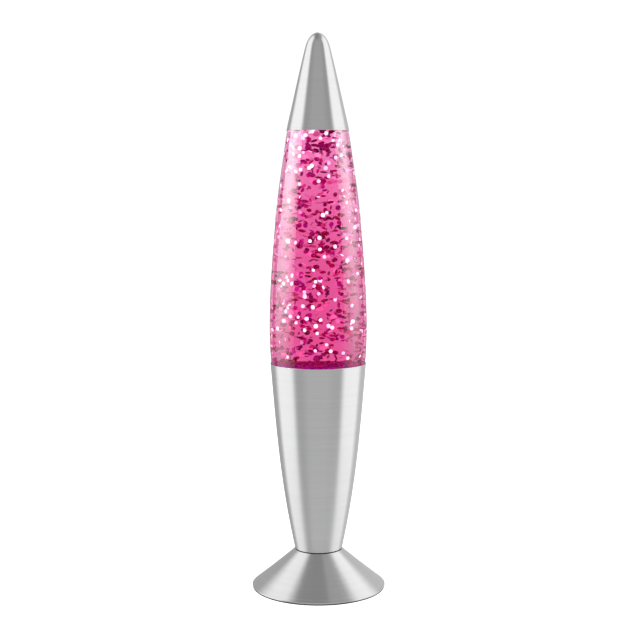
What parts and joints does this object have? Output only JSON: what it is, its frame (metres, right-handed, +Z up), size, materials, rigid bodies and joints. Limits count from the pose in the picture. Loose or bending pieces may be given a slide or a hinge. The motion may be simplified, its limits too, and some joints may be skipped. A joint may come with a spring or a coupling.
{
  "type": "glitter lamp",
  "caption": "Tall glitter lamp: sealed tapered glass bottle of pink liquid and flakes in a spun aluminium cone body, on a conical foot, with a loose cone cap.",
  "frame": {"origin": "centre of the foot's underside, on the surface that the lamp stands on", "axes": "+Z up along the lamp's axis, +Y towards the back, where the cord bush is, +X to the right seen from the front"},
  "size_m": [0.0996, 0.0996, 0.41],
  "materials": {
    "spun_aluminium": "fine circular brushing",
    "satin_aluminium": "smooth satin",
    "black_foam": "matt foam",
    "black_plastic": "moulded matt",
    "white_plastic": "moulded satin",
    "zinc_steel": "zinc plated",
    "brass": "bright stamped",
    "brown_insulation": "soft PVC",
    "blue_insulation": "soft PVC",
    "solder": "dull solder",
    "black_glass": "glassy",
    "nickel_shell": "rolled nickel",
    "bulb_glass": "silvered reflector and frosted front",
    "clear_glass": "polished clear",
    "wire_steel": "drawn wire",
    "pink_liquid": "clear tinted liquid",
    "magenta_flakes": "metallised film",
    "settled_flakes": "metallised film, piled",
    "white_foam": "closed-cell foam"
  },
  "bodies": {
    "stand": {"foot_shell": "spun_aluminium", "neck_gasket": "black_foam", "base_pad": "black_foam", "foot_cover": "black_plastic", "foot_bridge": "zinc_steel", "cover_screws": "zinc_steel", "cord_bush": "black_plastic", "terminal_block": "white_plastic", "terminal_barrels": "brass", "terminal_screws": "zinc_steel", "lead_live": "brown_insulation", "lead_neutral": "blue_insulation", "threaded_tube": "zinc_steel", "lock_washers": "zinc_steel", "tube_nuts": "zinc_steel", "body_shell": "spun_aluminium", "bottle_seat": "zinc_steel", "holder_sleeve": "zinc_steel", "holder_dome": "black_plastic", "holder_insert": "white_plastic", "holder_side_contact": "brass", "holder_centre_contact": "brass", "holder_skirt": "black_plastic", "holder_terminal_screws": "zinc_steel"},
    "bulb_tip": {"bulb_contact": "solder"},
    "bulb": {"bulb_insulator": "black_glass", "bulb_screw_cap": "nickel_shell", "bulb_glass": "bulb_glass", "bulb_stem": "clear_glass", "bulb_support_wires": "wire_steel", "bulb_filament": "wire_steel"},
    "bottle": {"glass_bottle": "clear_glass", "liquid": "pink_liquid", "glitter": "magenta_flakes", "settled_glitter": "settled_flakes", "bottle_closure": "white_plastic", "closure_liner": "white_foam"},
    "cap": {"cap_cone": "satin_aluminium"}
  },
  "joints": [
    {"name": "bulb_travel", "type": "slide", "parent": "stand", "child": "bulb_tip", "axis": [0, 0, 1], "range_m": [0, 0.0115]},
    {"name": "bulb_turn", "type": "hinge", "parent": "bulb_tip", "child": "bulb", "pos_m": [0, 0, 0.06], "axis": [0, 0, 1], "range_deg": [0, 1440]},
    {"name": "bottle_lift", "type": "slide", "parent": "stand", "child": "bottle", "axis": [0, 0, 1], "range_m": [0, 0.04]},
    {"name": "cap_lift", "type": "slide", "parent": "bottle", "child": "cap", "axis": [0, 0, 1], "range_m": [0, 0.05]}
  ],
  "couplings": [
    {"joint": "bulb_travel", "follows": "bulb_turn", "m_per_rad": 0.00044913}
  ]
}
